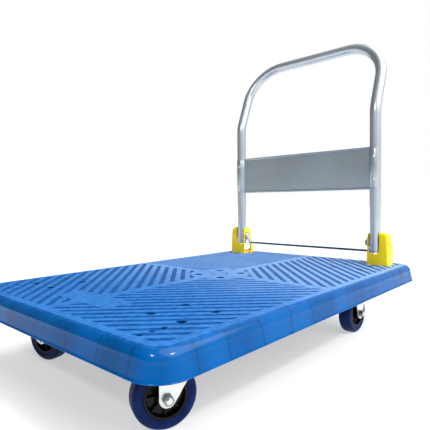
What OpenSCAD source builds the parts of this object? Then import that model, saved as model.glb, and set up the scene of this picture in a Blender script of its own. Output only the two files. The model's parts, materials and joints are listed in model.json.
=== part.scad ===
// Folding platform cart: a moulded deck on two swivel and two rigid casters, with a
// U-shaped push handle that folds down onto the deck between two hinge brackets.
// Millimetres. +X points away from the handle, +Y to the left of the person pushing,
// +Z up. The origin is on the floor, under the middle of the whole cart.

/* [Deck] */
// Length of the deck, front lip to rear lip
deck_l = 900; // [700:10:1200]
// Width of the deck, side lip to side lip
deck_w = 610; // [450:10:800]
// Height of the skirt, lip to load surface
deck_h = 40; // [32:1:60]
// Plan radius of the four corners
deck_corner = 48; // [36:1:80]
// Radius where the skirt rolls over into the load surface
deck_roll = 17; // [8:1:22]
// How far the lip stands out from the straight part of the skirt
deck_flare = 5; // [2:1:8]
// Thickness of the load surface and the skirt
deck_wall = 4; // [3:0.5:6]
// Thickness of the stiffening ribs underneath
rib_t = 3; // [2:0.5:5]
// Distance between stiffening ribs
rib_pitch = 76; // [50:1:110]

/* [Anti-slip grooves] */
// Distance from groove to groove, measured across them
groove_pitch = 21.5; // [16:0.5:40]
// Width of one groove
groove_w = 10; // [4:0.5:14]
// Depth of one groove
groove_depth = 1; // [0.5:0.1:2]
// Smooth border between the grooves and the rolled edge
groove_margin = 10; // [6:1:40]
// Smooth band along the two middle lines of the deck
band_w = 22; // [10:1:40]

/* [Casters] */
// Wheel diameter
wheel_d = 100; // [80:5:125]
// Tyre width
wheel_w = 32; // [24:1:40]
// Height from the floor to the underside of the deck
caster_h = 128; // [115:1:170]
// Caster centres, front to rear
caster_base = 600; // [480:10:800]
// Caster centres, side to side
caster_track = 380; // [300:10:600]
// How far a swivel wheel trails behind its kingpin
trail = 33; // [25:1:40]
// Swivel angle of the front left caster as it stands, from straight ahead
swivel_left = -24; // [-180:1:180]
// Swivel angle of the front right caster as it stands, from straight ahead
swivel_right = -79; // [-180:1:180]
// Caster bolt spacing along the deck
bolt_span_x = 71; // [60:1:90]
// Caster bolt spacing across the deck
bolt_span_y = 67; // [60:1:90]
// Caster bolt diameter
bolt_d = 8; // [6:1:10]
// Axle bolt diameter
axle_d = 10; // [8:1:12]

/* [Handle] */
// Outside diameter of the handle tube
tube_d = 28; // [22:1:34]
// Wall thickness of the handle tube
tube_wall = 1.5; // [1:0.1:2.5]
// Width between the centre lines of the two legs
handle_w = 446; // [300:2:600]
// Height of the grip's centre line above the deck
handle_h = 606; // [500:2:800]
// Height above the deck where the legs start to lean back
kink_h = 412; // [340:2:460]
// Angle that the upper part leans back from upright
lean = 21; // [5:1:30]
// Centre-line radius of the two upper corners
handle_corner = 110; // [60:2:120]
// Centre-line radius where the legs start to lean
kink_r = 90; // [50:5:120]

/* [Hinge] */
// Distance from the rear lip to the hinge axis
pivot_inset = 82; // [78:1:120]
// Height of the hinge axis above the deck
pivot_h = 57; // [52:1:70]
// Diameter of the hinge bolts
pivot_d = 10; // [8:1:12]
// Height of a hinge bracket
bracket_h = 85; // [80:1:110]
// Length of leg below the hinge axis
tail = 24; // [18:1:26]
// Travel of the release bar
release_travel = 6; // [4:1:8]
// Diameter of the release bar
bar_d = 6; // [5:1:8]

/* [Handle panel] */
// Height of the panel's lower edge above the deck
panel_z = 198; // [150:2:240]
// Height of the panel
panel_h = 113; // [60:1:140]
// Sheet thickness of the panel
panel_t = 1.5; // [1:0.1:3]

/* [Hidden] */
$fn = 96;

eps = 0.01;
run_gap = 0.05;      // radial clearance of a running fit
side_gap = 0.8;      // clearance beside a moving leg
loose = 0.3;         // clearance between other moving faces
hull_fn = 32;        // facets of circles inside a hull

// heights above the floor
deck_top = caster_h + deck_h;
axle_z = wheel_d / 2;

// hinge axis and the handle's reach, along X from the deck's middle
pivot_x = pivot_inset - deck_l / 2;
pivot_z = deck_top + pivot_h;
leg_y = handle_w / 2;
tube_r = tube_d / 2;
lean_run = (handle_h - kink_h) * tan(lean);
rear_reach = max(deck_l / 2, -pivot_x + lean_run + tube_r);
middle_shift = (rear_reach - deck_l / 2) / 2;   // brings the cart's middle to the origin

caster_x = caster_base / 2;
caster_y = caster_track / 2;
bolt_r = bolt_d / 2;
bolt_clear = 0.3;
recess_r = 7.5;      // well for a caster bolt's head
recess_depth = 12;
plate_t = 3.5;
plate_edge = 13;     // from a bolt's centre to the plate's edge
fork_t = 3;
hub_face = wheel_w / 2 + 3;                 // half the hub's width
leg_in = hub_face + side_gap;               // inner face of a fork leg
eye_r = 13;
axle_r = axle_d / 2;
rim_r = wheel_d / 2 - 16;                   // where tyre and hub meet
boss_r = 14;
bush_r = axle_r + 4;
nut_h = 6.5;
nut_r = bolt_d * 0.9;
head_h = 4.5;

// places the children in the shared frame: x from the deck's middle, z from the floor
module place(x = 0, y = 0, z = 0) translate([x + middle_shift, y, z]) children();

// ---- deck ----

// one quarter-turn of the deck's edge, as the outline that a corner is turned from
module edge_outline(inset, top) {
    r_lip = deck_corner - inset;
    r_side = r_lip - deck_flare;
    roll = max(1, deck_roll - inset);
    steps = 8;
    polygon(concat([[0, 0], [r_lip, 0], [r_side, deck_h * 0.3]],
        [for (i = [0:steps]) let (a = 90 * i / steps)
            [r_side - roll + roll * cos(a), top - roll + roll * sin(a)]],
        [[0, top]]));
}

module deck_block(inset, top) {
    hull()
        for (sx = [-1, 1], sy = [-1, 1])
            translate([sx * (deck_l / 2 - deck_corner), sy * (deck_w / 2 - deck_corner), 0])
                rotate_extrude($fn = hull_fn) edge_outline(inset, top);
}

module caster_bolt_places() {
    for (cx = [-1, 1], cy = [-1, 1], bx = [-1, 1], by = [-1, 1])
        translate([cx * caster_x + bx * bolt_span_x / 2, cy * caster_y + by * bolt_span_y / 2, 0])
            children();
}

screw_x = [-3.5, -24, -44.5];   // the three holes of a bracket, from the hinge axis
screw_y = 4;                    // and outwards from the leg's centre line

seat_depth = 0.5;               // how deep a bracket's foot is let into the deck

// the bracket's three holes at each corner: the front ones are spare
module bracket_hole_places(front = true) {
    for (end = front ? [-1, 1] : [1], side = [-1, 1], x = screw_x)
        translate([end * (pivot_x + x), side * (leg_y + screw_y), 0]) children();
}

patch_l = 55;        // smooth patch near the front edge
patch_w = 160;
patch_inset = 85;
gate_d = 32;
gate_hole_d = 19;
gate_hole = [37, 33];

module groove_field() {
    flat_x = deck_l / 2 - deck_flare - deck_roll - groove_margin;
    flat_y = deck_w / 2 - deck_flare - deck_roll - groove_margin;
    step = groove_pitch * sqrt(2);
    count = floor((flat_x + flat_y) / step);
    difference() {
        for (sx = [0, 1], sy = [0, 1]) mirror([sx, 0]) mirror([0, sy])
            intersection() {
                translate([band_w / 2, band_w / 2])
                    square([flat_x - band_w / 2, flat_y - band_w / 2]);
                for (i = [2:count])
                    translate([i * step, 0]) rotate(135)
                        translate([-deck_w, -groove_w / 2]) square([3 * deck_w, groove_w]);
            }
        translate([deck_l / 2 - patch_inset - patch_l / 2, 0]) square([patch_l, patch_w], center = true);
        circle(r = norm(gate_hole) + gate_hole_d, $fn = 96);
    }
}

module deck() {
    inner_h = deck_h - deck_wall;
    boss = recess_r + 4.5;
    screw_boss = bolt_d + 3;
    screw_boss_h = 24;
    color("royalblue") place(0, 0, caster_h)
        difference() {
            union() {
                difference() {
                    deck_block(0, deck_h);
                    translate([0, 0, -eps]) deck_block(deck_wall, inner_h + eps);
                }
                // stiffening ribs, and a boss at every bolt
                intersection() {
                    deck_block(deck_wall / 2, inner_h + deck_wall / 2);
                    translate([0, 0, deck_wall]) union() {
                        nx = floor((deck_l / 2 - deck_corner) / rib_pitch);
                        ny = floor((deck_w / 2 - deck_corner / 2) / rib_pitch);
                        for (i = [-nx:nx])
                            translate([i * rib_pitch - rib_t / 2, -deck_w / 2, 0])
                                cube([rib_t, deck_w, deck_h]);
                        for (i = [-ny:ny])
                            translate([-deck_l / 2, i * rib_pitch - rib_t / 2, 0])
                                cube([deck_l, rib_t, deck_h]);
                    }
                }
                caster_bolt_places() cylinder(r = boss, h = deck_h - deck_wall / 2);
                bracket_hole_places()
                    translate([0, 0, deck_h - screw_boss_h])
                        cylinder(r = screw_boss, h = screw_boss_h - deck_wall / 2);
            }
            caster_bolt_places() {
                translate([0, 0, -1]) cylinder(r = bolt_r + bolt_clear, h = deck_h + 2);
                translate([0, 0, deck_h - recess_depth]) cylinder(r = recess_r, h = recess_depth + 1);
            }
            bracket_hole_places() {
                translate([0, 0, -1]) cylinder(r = bolt_r + bolt_clear, h = deck_h + 2);
                translate([0, 0, -1]) cylinder(r = screw_boss, h = deck_h - screw_boss_h + 1);
            }
            translate([0, 0, deck_h - groove_depth]) linear_extrude(groove_depth + 1) groove_field();
            for (side = [-1, 1]) translate([pivot_x, side * leg_y, deck_h - seat_depth])
                mirror([0, side < 0 ? 1 : 0, 0]) translate([screw_x[2] - 9, latch_y - latch_t - 4, 0])
                    cube([front_x - screw_x[2] + 10, outer_y - latch_y + latch_t + 5, seat_depth + 1]);
            for (sx = [-1, 1], sy = [-1, 1])
                translate([sx * gate_hole[0], sy * gate_hole[1], deck_h - 2 * groove_depth])
                    cylinder(d = gate_hole_d, h = 2 * groove_depth + 1);
            translate([0, 0, deck_h - groove_depth]) difference() {
                cylinder(d = gate_d + 6, h = groove_depth + 1);
                translate([0, 0, -1]) cylinder(d = gate_d, h = groove_depth + 3);
            }
        }
}

// ---- hinge brackets, in a frame on the hinge axis: x forward, y outwards, z from the deck ----

inner_y = -(tube_r + side_gap + 3);     // inner wall's outside face
outer_y = inner_y + 55;
pivot_nut_r = pivot_d * 0.9;
front_x = max(tube_r - 1, pivot_nut_r * cos(30) + loose + 4);   // the front wall clears the hinge nut
rear_x = -40;
channel_r = tube_r + side_gap;
tail_sweep = norm([tail, tube_r]);
mouth_z = pivot_h - tail + channel_r * 0.64;   // low enough for the plug's edge to pass
wall = 4;
latch_y = inner_y - loose - 0.1;        // the latch plate's face next to the inner wall
latch_t = 3;
bar_x = -21;
bar_z = pivot_h - 24;
nut_y = outer_y - 15;

module hinge_side(side) place(pivot_x, 0, deck_top)
    if (side > 0) translate([0, leg_y, 0]) children();
    else mirror([0, 1, 0]) translate([0, leg_y, 0]) children();

// extrudes an outline drawn in x and z through a span of y
module across(from, to) translate([0, to, 0]) rotate([90, 0, 0]) linear_extrude(to - from) children();

// extrudes an outline drawn in y and z through a span of x
module along(from, to) translate([from, 0, 0]) rotate([90, 0, 90]) linear_extrude(to - from) children();

module bracket(side) {
    dome = 16;
    color("gold") hinge_side(side) difference() {
        union() {
            intersection() {
                // side view: upright front, sloping back, round top
                across(inner_y - 1, outer_y + 1) hull() {
                    translate([rear_x, -seat_depth]) square([front_x - rear_x, 1]);
                    translate([-8, bracket_h - dome]) circle(dome, $fn = hull_fn);
                    translate([front_x - 10, bracket_h - 8]) circle(8, $fn = hull_fn);
                }
                // front view: tapering sides, round shoulders
                along(rear_x - 1, front_x + 1) hull() {
                    translate([inner_y, -seat_depth]) square([outer_y - inner_y, 1]);
                    translate([inner_y + 9.5, bracket_h - 8]) circle(8, $fn = hull_fn);
                    translate([outer_y - dome - 4, bracket_h - dome]) circle(dome, $fn = hull_fn);
                }
                // plan view: the outer rear corner is rounded off
                translate([0, 0, -seat_depth]) linear_extrude(bracket_h + seat_depth) hull() {
                    translate([rear_x, inner_y]) square([front_x - rear_x, 30]);
                    translate([front_x - 4, outer_y - 4]) circle(4, $fn = hull_fn);
                    translate([rear_x + 18, outer_y - 18]) circle(18, $fn = hull_fn);
                }
            }
            // foot under the third screw, and a seat for the latch spring
            translate([screw_x[2] - 8, screw_y - 9, -seat_depth]) cube([20, 18, wall + seat_depth]);
            translate([bar_x - 1, latch_y - latch_t - 2.5, -seat_depth]) cube([9, 10, wall - 1 + seat_depth]);
        }
        // the leg's way: upright, folded and between, behind the front wall and above the hinge
        across(-channel_r, channel_r) union() {
            intersection() {
                translate([0, pivot_h]) circle(tail_sweep + side_gap);
                translate([front_x - wall - 100, 0]) square([100, 200]);
            }
            translate([-channel_r, pivot_h]) square([100, 100]);
        }
        // its round-bottomed mouth in the front wall
        along(front_x - wall - eps, front_x + 1) {
            translate([0, mouth_z]) circle(channel_r);
            translate([-channel_r, mouth_z]) square([2 * channel_r, 100]);
        }
        // hollow inside, open at the back
        translate([rear_x - 20, -channel_r, wall])
            cube([front_x - wall - rear_x + 20, 2 * channel_r, pivot_h - wall - 6]);
        translate([rear_x - 20, channel_r - 1, wall])
            cube([front_x - wall - rear_x + 20, outer_y - 5 - channel_r, pivot_h + 10 - wall]);
        // arch in the inner wall
        across(inner_y - 1, -channel_r + 1)
            polygon([[front_x - wall, wall - 1], [front_x - wall, 42], [4, pivot_h - 9], [-13, pivot_h - 9],
                [rear_x + 18, 30], [rear_x + 18, wall - 1]]);
        // hinge bolt and screw holes
        translate([0, inner_y - 1, pivot_h]) rotate([-90, 0, 0])
            cylinder(r = pivot_d / 2 + run_gap, h = outer_y - inner_y - 1);
        for (x = screw_x)
            translate([x, screw_y, -1]) cylinder(r = bolt_r + bolt_clear, h = wall + 2);
    }
}

module pan_head(r, h) {
    rotate_extrude() polygon([[0, 0], [r, 0], [r, h * 0.4], [r * 0.8, h * 0.85], [r * 0.4, h], [0, h]]);
}

module hex_nut(r, h, bore) {
    difference() {
        cylinder(r = r, h = h, $fn = 6);
        translate([0, 0, -1]) cylinder(r = bore, h = h + 2);
    }
}

module bracket_screws() {
    top = deck_top + wall;
    boss_bottom = deck_top - 24;
    color("silver") place() bracket_hole_places(front = false)
        translate([0, 0, top]) {
            pan_head(bolt_d * 0.8, head_h);
            translate([0, 0, boss_bottom - nut_h - 2 - top])
                cylinder(r = bolt_r, h = top - boss_bottom + nut_h + 2 + eps);
        }
}

module bracket_nuts() {
    color("silver") place() bracket_hole_places(front = false)
        translate([0, 0, deck_top - 24 - nut_h]) hex_nut(nut_r, nut_h, bolt_r);
}

module pivot_bolt() {
    head_y = latch_y - latch_t - loose;
    translate([0, head_y, pivot_h]) rotate([-90, 0, 0]) {
        cylinder(r = pivot_d / 2, h = nut_y + 9 - head_y);
        mirror([0, 0, 1]) pan_head(pivot_d * 0.8, head_h);
    }
}

module pivot_bolts() color("silver") for (side = [1, -1]) hinge_side(side) pivot_bolt();

module pivot_spacers() color("whitesmoke") for (side = [1, -1]) hinge_side(side)
    translate([0, channel_r, pivot_h]) rotate([-90, 0, 0]) difference() {
        cylinder(r = pivot_d / 2 + 3, h = nut_y - channel_r);
        translate([0, 0, -1]) cylinder(r = pivot_d / 2 + run_gap, h = nut_y);
    }

module pivot_nuts() color("silver") for (side = [1, -1]) hinge_side(side)
    translate([0, nut_y, pivot_h]) rotate([-90, 30, 0]) hex_nut(pivot_nut_r, 8, pivot_d / 2);

// ---- release bar: hangs on the hinge bolts by its two latch plates ----

module latch(side) {
    eye = 7.5;
    slot_r = pivot_d / 2 + loose;
    color("silver") hinge_side(side) translate([0, latch_y - latch_t, 0]) difference() {
        across(0, latch_t) union() {
            hull() {
                translate([0, pivot_h]) circle(eye, $fn = hull_fn);
                translate([0, pivot_h + release_travel]) circle(eye, $fn = hull_fn);
            }
            hull() {
                translate([0, pivot_h]) circle(eye, $fn = hull_fn);
                translate([bar_x, bar_z]) circle(eye - 1.5, $fn = hull_fn);
            }
        }
        translate([0, -1, pivot_h]) rotate([-90, 0, 0]) cylinder(r = slot_r, h = latch_t + 2);
        translate([0, -1, pivot_h + release_travel]) rotate([-90, 0, 0])
            cylinder(r = slot_r, h = latch_t + 2);
        translate([-slot_r, -1, pivot_h]) cube([2 * slot_r, latch_t + 2, release_travel]);
    }
}

module release_bar() {
    half = leg_y + latch_y - latch_t;
    color("darkslategray") place(pivot_x + bar_x, -half, deck_top + bar_z)
        rotate([-90, 0, 0]) cylinder(d = bar_d, h = 2 * half);
}

// a coil spring as one tube swept along its helix
module coil_spring(r, wire, h, turns) {
    sides = 8;
    per_turn = 14;
    n = turns * per_turn;
    function rise(i) = wire / 2 + (h - wire) * i / n;
    ring = [for (i = [0:n], k = [0:sides - 1])
        let (a = 360 * i / per_turn, b = 360 * k / sides, q = r + wire / 2 * cos(b))
        [q * cos(a), q * sin(a), rise(i) + wire / 2 * sin(b)]];
    faces = concat([[for (k = [0:sides - 1]) k]],
        [for (i = [0:n - 1], k = [0:sides - 1]) let (m = (k + 1) % sides)
            [i * sides + k, (i + 1) * sides + k, (i + 1) * sides + m, i * sides + m]],
        [[for (k = [sides - 1:-1:0]) n * sides + k]]);
    polyhedron(ring, faces);
}

spring_turns = 5;
spring_r = 2.6;
spring_wire = 1;

module latch_spring(side) {
    foot = wall - 1;
    top = bar_z - 6;
    color("peru") hinge_side(side) translate([bar_x + 3, latch_y - latch_t / 2, foot])
        coil_spring(spring_r, spring_wire, top - foot, spring_turns);
}

// ---- handle ----

// a length rounded to a hundredth, so that faces that meet meet exactly
function fine(length) = round(length * 100) / 100;

module tube_ring(r = tube_r, thick = tube_wall) difference() {
    circle(r);
    circle(r - thick);
}

module handle_tube() {
    sleeve = 1.5;                                  // half length of the ring inside the tube at the lean
    kink_arc = kink_r * tan(lean / 2);             // tangent length at the lean
    up = fine((handle_h - kink_h) / cos(lean));    // length of the leaning part
    leg_top = up - handle_corner;
    color("lightsteelblue") place(pivot_x, 0, deck_top) difference() {
        union() {
            for (side = [-1, 1]) {
                translate([0, side * leg_y, pivot_h - tail + 2])
                    linear_extrude(kink_h - kink_arc - pivot_h + tail - 2)
                    tube_ring();
                translate([-kink_r, side * leg_y, kink_h - kink_arc]) rotate([90, 0, 0])
                    rotate_extrude(angle = lean) translate([kink_r, 0]) tube_ring();
            }
            translate([0, 0, kink_h]) rotate([0, -lean, 0]) {
                for (side = [-1, 1]) {
                    translate([0, side * leg_y, leg_top]) rotate(side * 90) mirror([0, 0, 1])
                        linear_extrude(leg_top - kink_arc) tube_ring();
                    translate([0, side * leg_y, kink_arc - sleeve]) linear_extrude(2 * sleeve)
                        tube_ring(tube_r - tube_wall * 2 / 3, tube_wall * 2 / 3);
                    translate([0, side * (leg_y - handle_corner), leg_top])
                        rotate([90, 0, side > 0 ? 90 : -90])
                        rotate_extrude(angle = 90) translate([handle_corner, 0]) tube_ring();
                }
                translate([0, handle_corner - leg_y, up]) rotate([-90, -90, 0])
                    linear_extrude(2 * (leg_y - handle_corner)) tube_ring();
            }
        }
        for (side = [-1, 1]) translate([0, side * leg_y - tube_r - 1, pivot_h]) rotate([-90, 0, 0])
            cylinder(r = pivot_d / 2 + run_gap, h = tube_d + 2);
    }
}

module tube_plugs() color("dimgray") for (side = [1, -1]) hinge_side(side)
    translate([0, 0, pivot_h - tail]) {
        cylinder(r = tube_r, h = 2);
        cylinder(r = tube_r - tube_wall, h = 12);
    }

roll_r = 3.5;        // rolled edges of the panel
clip_margin = 6;     // the clips are shorter than the panel at both ends
rivet_inset = 21;

module handle_panel() {
    reach = leg_y - tube_r - panel_t / 2;
    color("silver") place(pivot_x, 0, deck_top + panel_z) {
        translate([-panel_t / 2, -reach, roll_r]) cube([panel_t, 2 * reach, panel_h - 2 * roll_r]);
        for (z = [roll_r, panel_h - roll_r]) translate([0, -reach + roll_r, z]) rotate([-90, 0, 0])
            cylinder(r = roll_r, h = 2 * (reach - roll_r));
        // clips round the front of each leg
        for (side = [0, 1]) mirror([0, side, 0]) translate([0, leg_y, clip_margin])
            rotate(-90) rotate_extrude(angle = 130) translate([tube_r + run_gap, 0])
                square([panel_t, panel_h - 2 * clip_margin]);
    }
}

module panel_rivets() color("silver") place(pivot_x, 0, deck_top + panel_z)
    for (side = [-1, 1], z = [clip_margin + rivet_inset, panel_h - clip_margin - rivet_inset])
        translate([tube_r + run_gap + panel_t - 0.4, side * leg_y, z]) rotate([0, 90, 0]) pan_head(4, 2.2);

// ---- casters, in a frame under the deck: z down from the plate's top face is negative ----

module caster_at(end, side) place(end * caster_x, side * caster_y, caster_h) children();

function swivel_of(side) = side > 0 ? swivel_left : swivel_right;

// the swivel's turning frame: the wheel trails along +x
module swivel_at(side) caster_at(1, side) rotate(swivel_of(side)) children();

// the wheel's own frame: origin at its centre, y along the axle
module wheel_at(end, side) {
    drop = axle_z - caster_h;
    if (end > 0) swivel_at(side) translate([trail, 0, drop]) children();
    else caster_at(end, side) translate([0, 0, drop]) children();
}

module caster_bolts() {
    under = caster_h - plate_t - nut_h - 2;
    seat = deck_top - recess_depth;
    color("silver") place() caster_bolt_places() {
        translate([0, 0, under]) cylinder(r = bolt_r, h = seat - under + eps);
        translate([0, 0, seat]) pan_head(recess_r - 1, head_h);
    }
}

module caster_nuts() color("silver") place() caster_bolt_places()
    translate([0, 0, caster_h - plate_t - nut_h]) hex_nut(nut_r, nut_h, bolt_r);

module top_plate() {
    lx = bolt_span_x + 2 * plate_edge;
    ly = bolt_span_y + 2 * plate_edge;
    corner = 10;
    translate([0, 0, -plate_t]) difference() {
        linear_extrude(plate_t) union() {
            square([lx - 2 * corner, ly], center = true);
            square([lx, ly - 2 * corner], center = true);
            for (sx = [-1, 1], sy = [-1, 1]) translate([sx * (lx / 2 - corner), sy * (ly / 2 - corner)])
                circle(corner);
        }
        for (sx = [-1, 1], sy = [-1, 1]) translate([sx * bolt_span_x / 2, sy * bolt_span_y / 2, -1])
            cylinder(r = bolt_r + bolt_clear, h = plate_t + 2);
    }
}

race_in = 17;
race_out = 28;
race_z = -7.5;        // lower face of the ball race
ball_r = 3;
ball_count = 16;
disc_top = race_z - 2 * ball_r - loose;
disc_r = 31.5;
pin_r = 6;

module front_plate(side) color("silver") caster_at(1, side) difference() {
    union() {
        top_plate();
        translate([0, 0, race_z]) cylinder(r = race_out, h = -race_z - plate_t + eps);
    }
    translate([0, 0, race_z - 1]) cylinder(r = pin_r + run_gap, h = 20);
    translate([0, 0, race_z - 1]) cylinder(r = race_in, h = -race_z - plate_t + 1);
}

module front_balls() color("gainsboro") for (side = [1, -1]) caster_at(1, side)
    for (i = [0:ball_count - 1]) rotate(360 * i / ball_count)
        translate([(race_in + race_out) / 2, 0, race_z - ball_r - loose / 2]) sphere(ball_r, $fn = 32);

module kingpins() color("silver") for (side = [1, -1]) caster_at(1, side) {
    bottom = disc_top - fork_t - loose;
    translate([0, 0, bottom]) cylinder(r = pin_r, h = -bottom);
    translate([0, 0, bottom - 4]) cylinder(r = pin_r + 4, h = 4);
}

// one leg of a fork: from a wide top, straight down its trailing edge, to a round eye at the axle
module fork_leg(x_eye, half_top, top_z, drop) {
    shoulder = 8;
    hull() {
        translate([-half_top, top_z - 10]) square([2 * half_top, 10]);
        translate([x_eye + eye_r - shoulder, top_z - 22]) circle(shoulder, $fn = hull_fn);
        translate([x_eye, drop]) circle(eye_r, $fn = hull_fn);
    }
}

module fork_legs(x_eye, half_top, top_z) {
    drop = axle_z - caster_h;
    difference() {
        for (s = [0, 1]) mirror([0, s, 0]) across(leg_in, leg_in + fork_t)
            fork_leg(x_eye, half_top, top_z, drop);
        translate([x_eye, -50, drop]) rotate([-90, 0, 0]) cylinder(r = axle_r + run_gap, h = 100);
    }
}

module front_fork(side) {
    color("silver") swivel_at(side) {
        difference() {
            translate([0, 0, disc_top - fork_t]) cylinder(r = disc_r, h = fork_t + ball_r + 1);
            translate([0, 0, disc_top]) cylinder(r = race_out + loose, h = 20);
            translate([0, 0, disc_top - 20]) cylinder(r = pin_r + run_gap, h = 40);
        }
        fork_legs(trail, sqrt(pow(disc_r, 2) - pow(leg_in + fork_t, 2)) - 1, disc_top - fork_t / 2);
    }
}

module rear_fork(side) {
    color("silver") caster_at(-1, side) {
        top_plate();
        fork_legs(0, bolt_span_x / 2, -plate_t + eps);
    }
}

// an axle bolt through both legs: its head is on the cart's inner side, its nut on the outer side
module axle_bolt(side) mirror([0, side > 0 ? 0 : 1, 0]) {
    outside = leg_in + fork_t;
    translate([0, -outside, 0]) rotate([-90, 0, 0]) cylinder(r = axle_r, h = 2 * outside + 9);
    translate([0, -outside, 0]) rotate([90, 0, 0]) cylinder(r = axle_d * 0.85, h = 6, $fn = 6);
}

module axle_nut(side) mirror([0, side > 0 ? 0 : 1, 0])
    translate([0, leg_in + fork_t, 0]) rotate([-90, 0, 0]) hex_nut(axle_d * 0.85, 7, axle_r);

module tyre() {
    shoulder = 9;
    out = wheel_d / 2;
    rotate([90, 0, 0]) rotate_extrude() difference() {
        union() {
            translate([rim_r, -wheel_w / 2]) square([out - rim_r - shoulder, wheel_w]);
            translate([rim_r, shoulder - wheel_w / 2]) square([out - rim_r, wheel_w - 2 * shoulder]);
            for (s = [-1, 1]) translate([out - shoulder, s * (wheel_w / 2 - shoulder)]) circle(shoulder);
        }
        translate([0, -wheel_w]) square([rim_r, 2 * wheel_w]);
    }
}

module hub() {
    rim_t = 3;
    web = 6;
    rotate([90, 0, 0]) rotate_extrude() union() {
        translate([rim_r - rim_t, -wheel_w / 2 + 1]) square([rim_t, wheel_w - 2]);
        translate([bush_r, -web / 2]) square([rim_r - rim_t / 2 - bush_r, web]);
        translate([bush_r, -hub_face]) square([boss_r - bush_r, 2 * hub_face]);
    }
}

module bush() rotate([90, 0, 0]) difference() {
    cylinder(r = bush_r, h = 2 * hub_face, center = true);
    cylinder(r = axle_r + run_gap, h = 3 * hub_face, center = true);
}

deck();
bracket(1);  // bracket_left
bracket(-1);  // bracket_right
bracket_screws();
bracket_nuts();
pivot_bolts();
pivot_spacers();
pivot_nuts();
handle_tube();
tube_plugs();
handle_panel();
panel_rivets();
release_bar();
latch(1);  // latch_left
latch(-1);  // latch_right
latch_spring(1);  // latch_spring_left
latch_spring(-1);  // latch_spring_right
caster_bolts();
caster_nuts();
front_plate(1);  // front_plate_left
front_plate(-1);  // front_plate_right
front_balls();
kingpins();
front_fork(1);  // front_fork_left
front_fork(-1);  // front_fork_right
rear_fork(1);  // rear_fork_left
rear_fork(-1);  // rear_fork_right
color("silver") wheel_at(1, 1) axle_bolt(1);  // front_axle_left
color("silver") wheel_at(1, -1) axle_bolt(-1);  // front_axle_right
color("silver") wheel_at(1, 1) axle_nut(1);  // front_axle_nut_left
color("silver") wheel_at(1, -1) axle_nut(-1);  // front_axle_nut_right
color("silver") for (s = [1, -1]) wheel_at(-1, s) axle_bolt(s);  // rear_axles
color("silver")  // rear_axle_nuts
    for (s = [1, -1]) wheel_at(-1, s) axle_nut(s);
color("darkslateblue") wheel_at(1, 1) tyre();  // front_tyre_left
color("darkslateblue") wheel_at(1, -1) tyre();  // front_tyre_right
color("darkslateblue") wheel_at(-1, 1) tyre();  // rear_tyre_left
color("darkslateblue") wheel_at(-1, -1) tyre();  // rear_tyre_right
color("dimgray") wheel_at(1, 1) hub();  // front_hub_left
color("dimgray") wheel_at(1, -1) hub();  // front_hub_right
color("dimgray") wheel_at(-1, 1) hub();  // rear_hub_left
color("dimgray") wheel_at(-1, -1) hub();  // rear_hub_right
color("gray") wheel_at(1, 1) bush();  // front_bush_left
color("gray") wheel_at(1, -1) bush();  // front_bush_right
color("gray") wheel_at(-1, 1) bush();  // rear_bush_left
color("gray") wheel_at(-1, -1) bush();  // rear_bush_right
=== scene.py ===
# %% [markdown]
# # A folding platform cart
# The frame comes first: every metal and plastic part that moves or fits is already modelled and packed.
# This lesson loads that frame, gives each part a real finish, and rebuilds the pieces whose looks
# depend on soft edges or on a pattern: the moulded deck, the hinge brackets, the wheels and the forks.

# %% Load the frame
import math

import bmesh
import bpy
import json
from functools import partialmethod
from mathutils import Matrix, Vector


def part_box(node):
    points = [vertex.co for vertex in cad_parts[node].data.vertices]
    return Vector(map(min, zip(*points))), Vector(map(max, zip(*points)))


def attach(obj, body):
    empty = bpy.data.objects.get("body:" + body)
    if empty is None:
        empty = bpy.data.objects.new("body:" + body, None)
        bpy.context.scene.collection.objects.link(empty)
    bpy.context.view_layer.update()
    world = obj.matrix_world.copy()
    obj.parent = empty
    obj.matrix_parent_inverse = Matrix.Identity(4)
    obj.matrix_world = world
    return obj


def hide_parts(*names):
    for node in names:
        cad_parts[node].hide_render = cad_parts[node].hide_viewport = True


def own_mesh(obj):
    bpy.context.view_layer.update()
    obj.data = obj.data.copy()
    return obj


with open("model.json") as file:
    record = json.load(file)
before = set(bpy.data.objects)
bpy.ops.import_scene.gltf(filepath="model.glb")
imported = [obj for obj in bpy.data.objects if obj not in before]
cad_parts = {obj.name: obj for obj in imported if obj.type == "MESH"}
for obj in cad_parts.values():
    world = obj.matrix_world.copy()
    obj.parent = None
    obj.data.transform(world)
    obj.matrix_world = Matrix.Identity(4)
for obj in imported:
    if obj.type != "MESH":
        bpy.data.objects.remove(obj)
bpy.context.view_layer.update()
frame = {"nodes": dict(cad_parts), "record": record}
record = frame["record"]
MM = 0.001
scene = bpy.context.scene

# %% [markdown]
# ## Shader arithmetic
# A finish is a small recipe: "lighter where the noise is high, rougher in the grooves". Written with
# nodes alone it is hard to read, so a Term wraps one socket and lets it be added and multiplied like a
# number, and a Finish holds one material and adds any other node by name.

# %% Terms and finishes
class Term:
    """A value in a material. Arithmetic on it adds Math nodes."""

    def __init__(self, graph, socket):
        self.graph = graph
        self.socket = socket

    def math(self, operation, *others):
        values = dict(enumerate((self,) + others))
        return self.graph.add("ShaderNodeMath", {"operation": operation}, values)

    def __rsub__(self, other):
        return self.graph.add("ShaderNodeMath", {"operation": "SUBTRACT"}, {0: other, 1: self})

    __add__ = __radd__ = partialmethod(math, "ADD")
    __sub__ = partialmethod(math, "SUBTRACT")
    __mul__ = __rmul__ = partialmethod(math, "MULTIPLY")
    __truediv__ = partialmethod(math, "DIVIDE")
    __gt__ = partialmethod(math, "GREATER_THAN")
    __lt__ = partialmethod(math, "LESS_THAN")

    def ramp(self, low, high, start=0.0, stop=1.0):
        """start at low, stop at high, smooth between."""
        settings = {"interpolation_type": "SMOOTHSTEP"}
        return self.graph.add("ShaderNodeMapRange", settings, {0: self, 1: low, 2: high, 3: start, 4: stop})


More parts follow.
